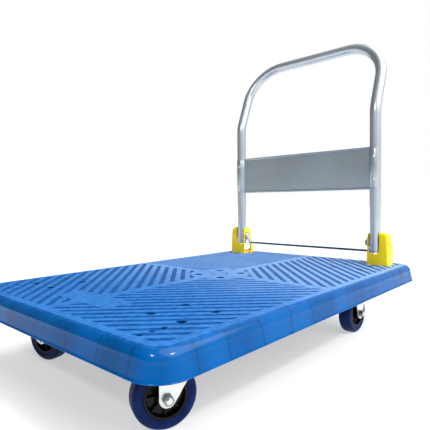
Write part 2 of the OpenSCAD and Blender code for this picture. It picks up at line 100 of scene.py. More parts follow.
class Graph:
    """A node tree: nodes are added by type, with their settings and the values of their sockets."""

    def put(self, socket, value):
        if isinstance(value, Term):
            self.tree.links.new(value.socket, socket)
        else:
            socket.default_value = value

    def add(self, kind, settings=None, values=None, out=0):
        """Adds a node: its settings first, then the values or links of its sockets."""
        node = self.tree.nodes.new(kind)
        for key, setting in (settings or {}).items():
            setattr(node, key, setting)
        for key, value in (values or {}).items():
            for one in value if isinstance(value, list) else [value]:
                self.put(node.inputs[key], one)
        return Term(self, node.outputs[out])


class Finish(Graph):
    """One material with a Principled surface."""

    def __init__(self, name, color, rough, metal=0.0, coat=0.0, specular=0.5):
        self.material = bpy.data.materials.new(name)
        self.material.use_nodes = True
        self.tree = self.material.node_tree
        self.surface = self.tree.nodes["Principled BSDF"]
        self.set("Base Color", (*color, 1))
        self.set("Roughness", rough)
        self.set("Metallic", metal)
        self.set("Coat Weight", coat)
        self.set("Coat Roughness", 0.08)
        self.set("Specular IOR Level", specular)

    def set(self, name, value):
        self.put(self.surface.inputs[name], value)

    def place(self):
        return self.add("ShaderNodeTexCoord", out="Object")

    def axes(self):
        """The x, y and z of Object coordinates, in metres."""
        split = self.add("ShaderNodeSeparateXYZ", None, {0: self.place()})
        return [Term(self, s) for s in split.socket.node.outputs]

    def stretched(self, x, y, z):
        values = {"Vector": self.place(), "Scale": (x, y, z)}
        return self.add("ShaderNodeMapping", {"vector_type": "POINT"}, values)

    def noise(self, scale, detail=2.0, place=None):
        values = {"Vector": place or self.place(), "Scale": scale, "Detail": detail}
        return self.add("ShaderNodeTexNoise", None, values)

    def blend(self, factor, a, b):
        """Colour a where factor is 0, b where it is 1."""
        first, second = [c if isinstance(c, Term) else (*c, 1) for c in (a, b)]
        return self.add("ShaderNodeMix", {"data_type": "RGBA"}, {0: factor, 6: first, 7: second}, out=2)

    def bump(self, height, strength, distance):
        values = {"Height": height, "Strength": strength, "Distance": distance}
        self.set("Normal", self.add("ShaderNodeBump", None, values))


def shade(color, by):
    """A colour made lighter or darker by a factor."""
    return tuple(min(1.0, c * by) for c in color)


# %% [markdown]
# ## Finishes
# The deck is coloured right through, so its blue never chips: it only changes with texture. The sides
# are polished by the mould, and the load surface is grained. Its grooves are painted darker as painted
# shade, and its lands paler, with a painted sheen that grows towards the far end.

# %% Deck plastic
deck_low, deck_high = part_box("deck")
GROOVE = 1.0 * MM          # depth of the grooves and of the marks round the middle
RIM = 24 * MM              # width of the border that holds the rolled edge and the skirt
DECK_CENTRE = (deck_low + deck_high) / 2
HALF_X = (deck_high.x - deck_low.x) / 2
HALF_Y = (deck_high.y - deck_low.y) / 2


def field(place, half):
    """1 inside the border along one axis, 0 near the skirt."""
    centre = DECK_CENTRE.x if half == HALF_X else DECK_CENTRE.y
    return (place - centre).math("ABSOLUTE") < half - RIM


def deck_finish():
    skirt_blue = (0.0, 0.060, 0.215)
    # the paler land colour is a painted sheen for the far end; the other is the land's own blue
    sheen_land, plain_land = (0.17, 0.32, 0.60), (0.022, 0.125, 0.36)
    f = Finish("deck_plastic", skirt_blue, 0.3, specular=0.1)
    x, y, z = f.axes()
    depth = deck_high.z - z
    top = depth.ramp(3.2 * MM, 0.6 * MM)
    land = depth.ramp(0.55 * MM, 0.25 * MM)
    # a painted sheen: lands and grooves are painted paler towards the far end, next to the handle
    far_sheen = (DECK_CENTRE.x + 0.75 * HALF_X - x + f.noise(8.0, 1.0) * 0.15).ramp(0.1, 0.62)
    mottle = f.noise(110.0, 2.0).ramp(0.35, 0.65)
    lands = f.blend(far_sheen, f.blend(mottle, plain_land, shade(plain_land, 1.35)),
                    f.blend(mottle, sheen_land, shade(sheen_land, 1.15)))
    # the grooves are painted darker than the lands as painted shade, and paler at the far end by the
    # painted sheen
    grooves = f.blend(far_sheen, f.blend(mottle, (0.001, 0.065, 0.27), (0.006, 0.10, 0.36)),
                      f.blend(mottle, (0.006, 0.095, 0.35), (0.02, 0.14, 0.44)))
    # the skirt shows faint sink marks and seams, where the ribs behind it shrank as the plastic cooled
    sink = f.noise(16.0, 1.0, f.stretched(1.0, 1.0, 0.05))
    side = f.blend(sink.ramp(0.35, 0.65), skirt_blue, shade(skirt_blue, 1.35))
    on_long_side = (y - DECK_CENTRE.y).math("ABSOLUTE") > HALF_Y - 22 * MM
    run = on_long_side * x + (1 - on_long_side) * y
    seam_turns, seam_wander = 95.0, 6.0       # a seam about every 66 mm, never quite evenly
    seam = (run * seam_turns + f.noise(5.0, 1.0) * seam_wander).math("SINE").ramp(0.955, 1.0)
    side = f.blend(seam * 0.45, side, shade(skirt_blue, 0.62))
    # painted shade: the walls and floors of the wells and holes, more than 1.8 mm below the top, are
    # painted dark
    deep = (z < deck_high.z - 1.8 * MM) * field(x, HALF_X) * field(y, HALF_Y)
    whole = f.blend(top, side, f.blend(land, grooves, lands))
    f.set("Base Color", f.blend(deep, whole, shade(skirt_blue, 0.35)))
    grain = f.noise(900.0, 2.0)
    f.set("Roughness", (0.15 + land * 0.3) + grain * 0.05)
    f.set("Coat Weight", depth.ramp(20 * MM, 9 * MM) * (1 - land) * 0.22)
    f.bump(grain * (0.15 + top * 0.85), 0.25, 0.0006)
    return f.material


# %% [markdown]
# The other finishes differ in a few numbers only, so four small recipes serve them all.

# %% Painted, plated and moulded finishes
def plastic(name, color, rough, specular=0.5):
    """A moulding with a fine grain, a little lighter and darker in clouds."""
    f = Finish(name, color, rough, specular=specular)
    cloud = f.noise(30.0, 2.0)
    f.set("Base Color", f.blend(cloud.ramp(0.3, 0.7), shade(color, 0.93), shade(color, 1.07)))
    grain = f.noise(1400.0, 1.0)
    f.set("Roughness", rough - 0.03 + grain * 0.08)
    f.bump(grain, 0.15, 0.0003)
    return f.material


def paint(name, color, rough, metal):
    """A metallic powder coat: an even colour with a soft, slightly cloudy shine."""
    f = Finish(name, color, rough, metal=metal, coat=0.15)
    cloud = f.noise(9.0, 2.0)
    f.set("Base Color", f.blend(cloud.ramp(0.3, 0.7), shade(color, 0.94), shade(color, 1.05)))
    f.set("Roughness", rough + cloud * 0.06)
    return f.material


def plating(name, color, rough, warm):
    """Plated steel: shiny, a little cloudy, with a second tint in patches."""
    f = Finish(name, color, rough, metal=1.0)
    cloud = f.noise(60.0, 3.0)
    spangle = f.noise(380.0, 2.0)
    f.set("Base Color", f.blend(cloud.ramp(0.35, 0.7), color, warm))
    f.set("Roughness", rough + cloud * 0.12 + spangle * 0.08)
    f.bump(spangle, 0.08, 0.0003)
    return f.material


def rubber_finish():
    """Elastic rubber: a soft sheen, scuffed paler where it rolls on the floor."""
    navy = (0.0, 0.010, 0.075)
    f = Finish("tyre_rubber", navy, 0.42, specular=0.12)
    dust = f.noise(70.0, 4.0)
    f.set("Base Color", f.blend(dust.ramp(0.45, 0.8), navy, (0.001, 0.022, 0.13)))
    f.set("Roughness", 0.36 + dust * 0.2)
    f.bump(f.noise(600.0, 2.0), 0.12, 0.0004)
    return f.material


FINISHES = {
    "deck_plastic": deck_finish(),
    "bracket_plastic": plastic("bracket_plastic", (1.0, 0.70, 0.0), 0.34),
    "tube_paint": paint("tube_paint", (0.50, 0.55, 0.60), 0.3, 0.75),
    "panel_steel": paint("panel_steel", (0.44, 0.50, 0.53), 0.32, 0.75),
    "zinc": plating("zinc", (0.66, 0.70, 0.71), 0.2, (0.62, 0.60, 0.56)),
    "dark_zinc": plating("dark_zinc", (0.20, 0.26, 0.28), 0.12, (0.30, 0.30, 0.28)),
    "spring_steel": plating("spring_steel", (0.62, 0.30, 0.08), 0.25, (0.70, 0.42, 0.12)),
    "bar_steel": plating("bar_steel", (0.05, 0.13, 0.20), 0.25, (0.09, 0.19, 0.27)),
    "nylon": plastic("nylon", (0.72, 0.72, 0.68), 0.45),
    "black_plastic": plastic("black_plastic", (0.003, 0.003, 0.004), 0.3, 0.2),
    "tyre_rubber": rubber_finish(),
    "bush_steel": plating("bush_steel", (0.42, 0.43, 0.44), 0.25, (0.50, 0.47, 0.42)),
}
print("finishes", len(FINISHES))

# %% [markdown]
# Bolts, plugs, balls and bushes are right as the frame has them. They only need their finishes.

# %% Dress the frame's own nodes
slot_of = {part["node"]: part["material_slot"] for part in record["subparts"]}
for name, node in frame["nodes"].items():
    finish = FINISHES[slot_of[name]]
    if not node.material_slots:
        node.data.materials.append(finish)
    for holder in node.material_slots:
        holder.material = finish
print("dressed", len(slot_of), "nodes")

# %% [markdown]
# ## Meshes and trees
# Every piece below starts as a plain mesh of points and faces, or as a Geometry Nodes tree built here.
# A tree is read once, turned into a plain mesh, and thrown away: what is kept is always simple geometry.

# %% Plain meshes
def new_piece(name, points, faces):
    mesh = bpy.data.meshes.new(name)
    mesh.from_pydata([tuple(p) for p in points], [], faces)
    piece = bpy.data.objects.new(name, mesh)
    scene.collection.objects.link(piece)
    return piece


def tidy_mesh(piece, gap=1e-6):
    """Merges doubles and turns every face outwards."""
    work = bmesh.new()
    work.from_mesh(piece.data)
    bmesh.ops.remove_doubles(work, verts=work.verts, dist=gap)
    bmesh.ops.dissolve_degenerate(work, edges=work.edges, dist=gap)
    bmesh.ops.recalc_face_normals(work, faces=work.faces)
    work.to_mesh(piece.data)
    work.free()
    return piece


def loft(name, rings):
    """A closed skin through rings of equal length, with a flat cap at both ends."""
    count = len(rings[0])
    points = [p for ring in rings for p in ring]
    faces = [tuple(range(count)), tuple(len(points) - count + k for k in range(count))]
    for r in range(len(rings) - 1):
        for k in range(count):
            a, b = r * count + k, r * count + (k + 1) % count
            faces.append((a, b, b + count, a + count))
    return tidy_mesh(new_piece(name, points, faces))


def lathe(name, outline, steps=64):
    """Turns a closed outline of (radius, height) about Z."""
    count = len(outline)
    points, faces = [], []
    for s in range(steps):
        angle = math.tau * s / steps
        for radius, height in outline:
            points.append((radius * math.cos(angle), radius * math.sin(angle), height))
            k = (len(points) - 1) % count
            this, after = s * count, (s + 1) % steps * count
            faces.append((this + k, this + (k + 1) % count, after + (k + 1) % count, after + k))
    return tidy_mesh(new_piece(name, points, faces))


def sweep(name, path, radius, sides=32):
    """A round bar along a path of points, capped at both ends."""
    rings = []
    side = None
    for i, point in enumerate(path):
        ahead = (path[min(i + 1, len(path) - 1)] - path[max(i - 1, 0)]).normalized()
        side = ahead.orthogonal() if side is None else side - ahead * side.dot(ahead)
        side.normalize()
        over = ahead.cross(side)
        turns = [math.tau * k / sides for k in range(sides)]
        rings.append([point + (side * math.cos(a) + over * math.sin(a)) * radius for a in turns])
    return loft(name, rings)


def arc(centre_x, centre_y, radius, start, stop, steps):
    """Points on an arc, angles in degrees."""
    angles = [math.radians(start + (stop - start) * i / steps) for i in range(steps + 1)]
    return [(centre_x + radius * math.cos(a), centre_y + radius * math.sin(a)) for a in angles]


def round_corners(centre, half_x, half_y, radius, steps):
    """A rectangle's outline with round corners, in x and y."""
    outline = []
    for turn, (sx, sy) in enumerate(((1, 1), (-1, 1), (-1, -1), (1, -1))):
        corner_x, corner_y = sx * (half_x - radius), sy * (half_y - radius)
        corner = arc(corner_x, corner_y, radius, 90 * turn, 90 * turn + 90, steps)
        outline += [(x + centre.x, y + centre.y) for x, y in corner]
    return outline


def settle(piece):
    """Turns what the modifiers make into a plain mesh."""
    ready = piece.evaluated_get(bpy.context.evaluated_depsgraph_get())
    mesh = bpy.data.meshes.new_from_object(ready)
    piece.modifiers.clear()
    piece.data = mesh
    return piece


def place_mesh(piece, matrix):
    piece.data.transform(matrix)
    return piece


def bevel(piece, width, degrees=30, segments=2):
    edge = piece.modifiers.new("edges", "BEVEL")
    edge.width = width
    edge.segments = segments
    edge.limit_method = "ANGLE"
    edge.angle_limit = math.radians(degrees)
    return settle(piece)


def hand_in(piece, body, slot, *nodes, degrees=35):
    """Shades a piece, gives it its finish, ties it to a body, and hides the frame nodes that it stands for.
    """
    piece.data.shade_smooth()
    piece.data.set_sharp_from_angle(angle=math.radians(degrees))
    piece.data.materials.clear()
    piece.data.materials.append(FINISHES[slot])
    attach(piece, body)
    if nodes:
        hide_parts(*nodes)
    print(piece.name, len(piece.data.polygons), "faces on", body)
    return piece


# %% Geometry Nodes trees
class Tree(Graph):
    """A Geometry Nodes tree with named inputs."""

    def __init__(self, name):
        self.tree = bpy.data.node_groups.new(name, "GeometryNodeTree")
        self.tree.interface.new_socket("Geometry", in_out="OUTPUT", socket_type="NodeSocketGeometry")
        self.inlet = self.tree.nodes.new("NodeGroupInput")
        self.start = self.input("Geometry", "Geometry")

    def input(self, name, kind, value=None):
        socket = self.tree.interface.new_socket(name, in_out="INPUT", socket_type="NodeSocket" + kind)
        if value is not None:
            socket.default_value = value
        return Term(self, self.inlet.outputs[name])

    def vector(self, x=0.0, y=0.0, z=0.0):
        return self.add("ShaderNodeCombineXYZ", None, {0: x, 1: y, 2: z})

    def block(self, size, place):
        cube = self.add("GeometryNodeMeshCube", None, {"Size": size})
        return self.add("GeometryNodeTransform", None, {"Geometry": cube, "Translation": place})

    def row(self, count, start, offset, shape, turn=(0, 0, 0)):
        """Copies of a shape along a line of points."""
        values = {"Count": count, "Start Location": start, "Offset": offset}
        return self.copies(self.add("GeometryNodeMeshLine", None, values), shape, turn)

    def copies(self, points, shape, turn):
        values = {"Points": points, "Instance": shape, "Rotation": turn}
        placed = self.add("GeometryNodeInstanceOnPoints", None, values)
        return self.add("GeometryNodeRealizeInstances", None, {0: placed})

    def solid(self, operation, first, others):
        if operation == "DIFFERENCE":
            values = {"Mesh 1": first, "Mesh 2": others}
        else:
            values = {"Mesh 2": [first] + others}
        return self.add("GeometryNodeMeshBoolean", {"operation": operation, "solver": "MANIFOLD"}, values)

    def mirrored(self, shape, scale):
        """A shape and its mirror image."""
        turned = self.add("GeometryNodeTransform", None, {"Geometry": shape, "Scale": scale})
        image = self.add("GeometryNodeFlipFaces", None, {"Mesh": turned})
        return self.add("GeometryNodeJoinGeometry", None, {0: [shape, image]})

    def object(self, holder):
        """The mesh of the object that an input names."""
        return self.add("GeometryNodeObjectInfo", None, {"Object": holder}, out="Geometry")

    def end(self, geometry, material):
        real = self.add("GeometryNodeRealizeInstances", None, {0: geometry})
        dressed = self.add("GeometryNodeSetMaterial", None, {"Geometry": real, "Material": material})
        self.tree.links.new(dressed.socket, self.tree.nodes.new("NodeGroupOutput").inputs[0])

    def run(self, piece, inputs):
        """Runs the tree on a piece with these inputs, and leaves a plain mesh."""
        modifier = piece.modifiers.new(self.tree.name, "NODES")
        modifier.node_group = self.tree
        sockets = {s.name: s.identifier for s in self.tree.interface.items_tree if s.in_out == "INPUT"}
        for name, value in inputs.items():
            modifier[sockets[name]] = value
        return settle(piece)


def placing_tree(name, operation, material):
    """Puts a copy of Shape at each point of Places, and adds it to or cuts it from the piece."""
    tree = Tree(name)
    shape = tree.object(tree.input("Shape", "Object"))
    places = tree.object(tree.input("Places", "Object"))
    copies = tree.copies(places, shape, tree.input("Turn", "Vector"))
    tree.end(copies if operation is None else tree.solid(operation, tree.start, [copies]), material)
    return tree


def islands(node):
    """The low and high corner of each separate solid of a frame node."""
    work = bmesh.new()
    work.from_mesh(frame["nodes"][node].data)
    bmesh.ops.remove_doubles(work, verts=work.verts, dist=1e-6)
    seen, found = set(), []
    for start in work.verts:
        if start in seen:
            continue
        seen.add(start)
        group = [start]
        for vert in group:
            for edge in vert.link_edges:
                other = edge.other_vert(vert)
                if other not in seen:
                    seen.add(other)
                    group.append(other)
        axes = list(zip(*[v.co for v in group]))
        found.append((Vector([min(a) for a in axes]), Vector([max(a) for a in axes])))
    work.free()
    return found


def points_object(name, places):
    return new_piece(name, places, [])


def discard(*pieces):
    for piece in pieces:
        bpy.data.objects.remove(piece)


print("caster bolts", len(islands("caster_bolts")))

# %% [markdown]
# ## The deck
# The real deck is one injection-moulded tray: a skirt with a rolled top edge, a grid of ribs under a thin
# skin, and rows of shallow grooves that form diamonds round the centre. The tray is a loft through rounded
# rectangles, because each height has the same outline with a different inset. Ribs and grooves repeat by
# rule, so Geometry Nodes make them and join or cut them with a boolean.

# %% The tray
DECK_H = deck_high.z - deck_low.z
CORNER, ROLL, FLARE, WALL = 48 * MM, 17 * MM, 5 * MM, 4 * MM


def rounded_rectangle(inset, height, steps=14):
    outline = round_corners(DECK_CENTRE, HALF_X - inset, HALF_Y - inset, CORNER - inset, steps)
    return [(x, y, deck_low.z + height) for x, y in outline]


def edge_profile(inset, top, roll):
    """Inset and height from the flat top, over the rolled edge, down to the flared lip."""
    rolled = arc(inset + FLARE + roll, top - roll, roll, 90, 180, 10)
    skirt = [(inset + FLARE * (0.1 + 0.9 * k), (top - roll) * k) for k in (0.75, 0.5, 0.25, 0.1)]
    return [(inset + FLARE + roll + 3 * MM, top)] + rolled + skirt


outside = edge_profile(0, DECK_H, ROLL) + [(0.1 * MM, 1.2 * MM), (0.3 * MM, 0.3 * MM), (1.2 * MM, 0)]
inside = [(WALL - 0.8 * MM, 0), (WALL, 0.8 * MM)] + edge_profile(WALL, DECK_H - WALL, ROLL - WALL)[::-1]
deck = loft("deck_moulding", [rounded_rectangle(*step) for step in outside + inside])
between = edge_profile(WALL / 2, DECK_H - WALL / 2, ROLL - WALL / 2) + [(WALL / 2 + FLARE, 4 * MM)]
core = loft("deck_core", [rounded_rectangle(*step) for step in between])
print("tray", len(deck.data.polygons), "faces")


# %% [markdown]
# The ribs are two rows of thin blocks, trimmed by a core that ends inside the walls. The grooves are one
# quarter of slanting bars, mirrored twice and cut one millimetre deep.

# %% Ribs and grooves
def deck_tree(material):
    tree = Tree("deck_ribs_and_grooves")
    core_shape = tree.object(tree.input("Core", "Object"))
    centre = tree.input("Centre", "Vector")
    rib_pitch = tree.input("Rib pitch", "Float", 76 * MM)
    rib_thickness = tree.input("Rib thickness", "Float", 3 * MM)
    ribs_x = tree.input("Ribs each way in X", "Int", 5)
    ribs_y = tree.input("Ribs each way in Y", "Int", 3)
    pitch = tree.input("Groove pitch", "Float", 21.5 * MM)
    width = tree.input("Groove width", "Float", 10 * MM)
    depth = tree.input("Groove depth", "Float", GROOVE)
    band = tree.input("Smooth band", "Float", 22 * MM)
    field_x = tree.input("Field half length", "Float")
    field_y = tree.input("Field half width", "Float")
    patch = tree.input("Smooth patch", "Vector")
    patch_x = tree.input("Smooth patch place", "Float")
    disc = tree.input("Clear radius", "Float", 69 * MM)
    height = tree.input("Rib height", "Float", DECK_H)

    split = tree.add("ShaderNodeSeparateXYZ", None, {0: centre}).socket.node
    centre_x, centre_y, centre_z = [Term(tree, s) for s in split.outputs]
    # ribs: longer than the deck, so the core trims them
    rib_x = tree.block(tree.vector(rib_thickness, 4 * field_y, height), (0, 0, 0))
    rib_y = tree.block(tree.vector(4 * field_x, rib_thickness, height), (0, 0, 0))
    rib_z = centre_z - height * 0.5
    first_x = tree.vector(centre_x - ribs_x * rib_pitch, centre_y, rib_z)
    first_y = tree.vector(centre_x, centre_y - ribs_y * rib_pitch, rib_z)
    across = tree.row(ribs_x * 2 + 1, first_x, tree.vector(x=rib_pitch), rib_x)
    along = tree.row(ribs_y * 2 + 1, first_y, tree.vector(y=rib_pitch), rib_y)
    trimmed = [tree.solid("INTERSECT", ribs, [core_shape]) for ribs in (across, along)]
    ribbed = tree.solid("UNION", tree.start, trimmed)
    # grooves: slanting bars that start at the middle
    step = pitch * math.sqrt(2)
    count = ((field_x + field_y) / step).math("FLOOR") - 1
    bar = tree.block(tree.vector(4 * field_x, width, depth * 2), (0, 0, 0))
    bars = tree.row(count, tree.vector(step * 2), tree.vector(step), bar, (0, 0, math.radians(135)))
    quarter_size = tree.vector(field_x - band * 0.5, field_y - band * 0.5, 1.0)
    quarter_place = tree.vector((field_x + band * 0.5) * 0.5, (field_y + band * 0.5) * 0.5)
    quarter = tree.solid("INTERSECT", bars, [tree.block(quarter_size, quarter_place)])
    field = tree.mirrored(tree.mirrored(quarter, (-1, 1, 1)), (1, -1, 1))
    clear = tree.add("GeometryNodeMeshCylinder", None, {"Vertices": 96, "Radius": disc, "Depth": 1.0})
    kept = [tree.block(patch, tree.vector(patch_x)), clear]
    field = tree.solid("DIFFERENCE", field, kept)
    field = tree.add("GeometryNodeTransform", None, {"Geometry": field, "Translation": centre})
    tree.end(tree.solid("DIFFERENCE", ribbed, [field]), material)
    return tree


field_inset = FLARE + ROLL + 10 * MM
PATCH_X, PATCH_Y, PATCH_INSET = 55 * MM, 160 * MM, 85 * MM
deck_tree(FINISHES["deck_plastic"]).run(deck, {
    "Core": core, "Centre": (DECK_CENTRE.x, DECK_CENTRE.y, deck_high.z),
    "Field half length": HALF_X - field_inset, "Field half width": HALF_Y - field_inset,
    "Smooth patch": (PATCH_X, PATCH_Y, 1.0), "Smooth patch place": HALF_X - PATCH_INSET - PATCH_X / 2,
})
print("deck", len(deck.data.polygons), "faces")

# %% [markdown]
# ## Holes in the deck
# Sixteen wells hold the caster bolts' heads, three screw holes wait at each front corner for a second
# handle, and a ring and four shallow discs mark the middle. Each cutter is turned on a lathe with a small
# chamfer at its mouth, because a moulded hole never has a knife edge.

# %% Wells, holes and marks
def on_top(node):
    """Where the axis of each solid of a node meets the deck's top."""
    return [Vector(((lo.x + hi.x) / 2, (lo.y + hi.y) / 2, deck_high.z)) for lo, hi in islands(node)]


spares = [m for m in record["mounts"] if m["kind"] == "bolt_pattern"]
spare_axes = []
for mount in spares:
    x, y = mount["pos_m"][:2]
    gap = mount["dims"]["spacing_x_mm"] * MM / 2
    spare_axes += [Vector((x + k * gap, y, deck_high.z)) for k in (-1, 0, 1)]
SCREW_HOLE_R = spares[0]["dims"]["hole_r_mm"] * MM
WELL_R, WELL_DEPTH = 7.5 * MM, 12 * MM
BOSS_R, SCREW_BOSS_R, SCREW_BOSS_H = 12 * MM, 11 * MM, 24 * MM
THROUGH = DECK_H + 1 * MM


def drill(radius, depth, chamfer):
    """A cutter: a straight hole with a chamfered mouth at height 0."""
    lip = 1 * MM
    outline = [(0, -depth), (radius, -depth), (radius, -chamfer), (radius + chamfer + lip, lip), (0, lip)]
    return lathe("cutter", outline, 32)


def cylinder(name, radius, low, high):
    return lathe(name, [(0, low), (radius, low), (radius, high), (0, high)], 32)


cutting = placing_tree("cut_at_places", "DIFFERENCE", FINISHES["deck_plastic"])
adding = placing_tree("add_at_places", "UNION", FINISHES["deck_plastic"])


def work_deck(tree, shape, places):
    spots = points_object("spots", places)
    tree.run(deck, {"Shape": shape, "Places": spots})
    discard(shape, spots)


bolt_axes, screw_axes = on_top("caster_bolts"), spare_axes + on_top("bracket_screws")
work_deck(adding, cylinder("boss", BOSS_R, -DECK_H, -WALL / 2), bolt_axes)
for place in screw_axes:
    # the bosses of one corner overlap, so they are added one at a time
    work_deck(adding, cylinder("boss", SCREW_BOSS_R, -SCREW_BOSS_H, -WALL / 2), [place])
work_deck(cutting, drill(WELL_R, WELL_DEPTH, 0.8 * MM), bolt_axes)
work_deck(cutting, drill(SCREW_HOLE_R, THROUGH, 0.0), bolt_axes)
work_deck(cutting, drill(SCREW_HOLE_R, THROUGH, 0.6 * MM), screw_axes)
middle = Vector((DECK_CENTRE.x, DECK_CENTRE.y, deck_high.z))
marks = [middle + Vector((sx * 37 * MM, sy * 33 * MM, 0)) for sx in (-1, 1) for sy in (-1, 1)]
work_deck(cutting, drill(9.5 * MM, 2 * GROOVE, 0.4 * MM), marks)
ring = [(16 * MM, -GROOVE), (19 * MM, -GROOVE), (19.5 * MM, GROOVE), (15.5 * MM, GROOVE)]
work_deck(cutting, lathe("ring", ring, 64), [middle])
hand_in(deck, "cart", "deck_plastic", "deck", degrees=28)
discard(core)

# %% [markdown]
# ## The handle
# One steel tube is bent into a tall hoop: upright at the hinge, leaning back above the panel, and turned
# over at the top. A bar swept along its centre line gives the true bends, with few rings on the straights
# and many in the corners, which is how the light slides smoothly round them.

# %% Hoop
JOINTS = {joint["name"]: joint for joint in record["behaviour"]["joints"]}
HINGE = Vector(JOINTS["handle_fold"]["pos_m"])
tube_low, tube_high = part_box("handle_tube")
TUBE_R = 14 * MM
LEG_Y = tube_high.y - TUBE_R
KINK_H, KINK_R = 412 * MM, 90 * MM             # the bend where the legs lean back: height and radius
HANDLE_H, HANDLE_CORNER = 606 * MM, 110 * MM   # the grip's height above the deck, and the corners' radius
LEAN = 21                                      # degrees


def hoop_path():
    lean = math.radians(LEAN)
    kink_arc = KINK_R * math.tan(lean / 2)
    reach = (HANDLE_H - KINK_H) / math.cos(lean)
    kink = Vector((HINGE.x, 0, deck_high.z + KINK_H))
    slant = Vector((-math.sin(lean), 0, math.cos(lean)))
    foot = Vector((HINGE.x, LEG_Y, tube_low.z))
    bend = arc(HINGE.x - KINK_R, kink.z - kink_arc, KINK_R, 0, LEAN, 10)
    corner = arc(LEG_Y - HANDLE_CORNER, reach - HANDLE_CORNER, HANDLE_CORNER, 0, 90, 22)
    half = [foot, foot + Vector((0, 0, 150 * MM))]
    half += [Vector((x, LEG_Y, z)) for x, z in bend]
    half += [kink + slant * along + Vector((0, y, 0)) for y, along in corner]
    return half + [Vector((p.x, -p.y, p.z)) for p in reversed(half)]


tube = sweep("handle_hoop", hoop_path(), TUBE_R, 40)
hand_in(tube, "handle", "tube_paint", "handle_tube", degrees=50)

# %% [markdown]
# ## The panel
# A flat sheet between the legs keeps boxes from sliding into the person who pushes. Its long edges are
# rolled into hems, and its ends wrap round the front of the legs, where rivets hold them.

# %% Sheet, hems and clips
panel_low, panel_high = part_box("handle_panel")
PANEL_T, HEM_R, SNUG = 1.5 * MM, 3.5 * MM, 0.05 * MM
reach = LEG_Y - TUBE_R - 0.4 * MM
meet = math.degrees(math.asin(PANEL_T / 2 / HEM_R))
hemmed = arc(HINGE.x, panel_high.z - HEM_R, HEM_R, meet - 90, 270 - meet, 18)
hemmed += arc(HINGE.x, panel_low.z + HEM_R, HEM_R, 90 + meet, 450 - meet, 18)
stations = (-reach, -reach / 2, 0, reach / 2, reach)
panel = loft("handle_panel_sheet", [[(x, y, z) for x, z in hemmed] for y in stations])


def clip(side):
    """The end of the panel, wrapped round the front of one leg."""
    inner, outer = TUBE_R + SNUG, TUBE_R + SNUG + PANEL_T
    wrap = arc(0, 0, outer, -90, 40, 18) + arc(0, 0, inner, 40, -90, 18)
    low, high = panel_low.z + 6 * MM, panel_high.z - 6 * MM
    rings = [[(HINGE.x + x, side * (LEG_Y + y), z) for x, y in wrap] for z in (low, high)]
    return bevel(loft("clip", rings), 0.4 * MM, 40)


def join(name, pieces):
    """One object from several meshes."""
    work = bmesh.new()
    for piece in pieces:
        work.from_mesh(piece.data)
    whole = new_piece(name, [], [])
    work.to_mesh(whole.data)
    work.free()
    discard(*pieces)
    return whole


folded = join("handle_panel_folded", [panel] + [clip(side) for side in (-1, 1)])
hand_in(folded, "handle", "panel_steel", "handle_panel", degrees=30)

# %% [markdown]
# ## Fasteners
# Screws, nuts and rivets come by the handful, and each kind has one shape. The frame says where each one
# sits: every separate solid of a fastener node gives one point, and a small tree puts a copy there.

# %% Shapes of the fasteners
def carve(piece, *tools):
    """Cuts tools out of a piece, and throws them away."""
    for tool in tools:
        cut = piece.modifiers.new("cut", "BOOLEAN")
        cut.operation = "DIFFERENCE"
        cut.solver = "EXACT"
        cut.object = tool
        settle(piece)
    discard(*tools)
    return piece


def box_piece(name, size, centre):
    corners = ((-1, -1), (1, -1), (1, 1), (-1, 1))
    rings = [[(centre[0] + x * size[0] / 2, centre[1] + y * size[1] / 2, centre[2] + z * size[2] / 2)
              for x, y in corners] for z in (-1, 1)]
    return loft(name, rings)


def screw(name, head_r, head_h, shank_r, length):
    """A pan-head screw with a cross recess, its head's seat at height 0."""
    crown = [(0, 1.04), (0.62, 1), (0.86, 0.86), (0.97, 0.6), (1, 0.3), (1, 0)]
    shank = [(shank_r, 0), (shank_r, -length + shank_r * 0.3), (shank_r * 0.7, -length), (0, -length)]
    piece = lathe(name, [(r * head_r, h * head_h) for r, h in crown] + shank, 32)
    long, short = head_r * 0.95, head_r * 0.2
    arms = [box_piece("arm", (x, y, head_h), (0, 0, head_h)) for x, y in ((long, short), (short, long))]
    return carve(piece, *arms)


def hexagon(name, radius, height, bore):
    """A hexagon nut or head with both faces chamfered, lying on height 0."""
    sixth = math.tau / 6
    hexes = [(radius * math.cos(sixth * k), radius * math.sin(sixth * k)) for k in range(6)]
    prism = loft(name, [[(x, y, z) for x, y in hexes] for z in (0, height)])
    body = bevel(prism, radius * 0.09, 50)
    if bore:
        end = 1 * MM
        mouth = [(bore, height - bore * 0.12), (bore * 1.15, height + end)]
        hole = [(0, -end), (bore, -end)] + mouth + [(0, height + end)]
        carve(body, lathe("hole", hole, 24))
    return body


def threaded(name, radius, length, pitch):
    """The end of a bolt: rings of thread and a chamfered tip, from height 0 up."""
    outline = [(0, 0)]
    for k in range(int(length / pitch)):
        outline += [(radius * 0.9, k * pitch), (radius, (k + 0.5) * pitch)]
    tip = [(radius * 0.86, length - pitch * 0.4), (radius * 0.72, length), (0, length)]
    return lathe(name, outline + tip, 24)


def scatter(name, shape, places, turn, body, slot, *nodes):
    """Copies of a shape at many places, as one mesh."""
    tree = placing_tree(name + "_tree", None, FINISHES[slot])
    piece, spots = points_object(name, []), points_object("spots", places)
    tree.run(piece, {"Shape": shape, "Places": spots, "Turn": turn})
    discard(shape, spots)
    return hand_in(piece, body, slot, *nodes)


def seats(node, axis, side):
    """Points on the solids of a node: the middle, moved to the low (-1) or high (1) end of an axis."""
    found = []
    for low, high in islands(node):
        point = (low + high) / 2
        point[axis] += side * (high - low)[axis] / 2
        found.append(point)
    return found


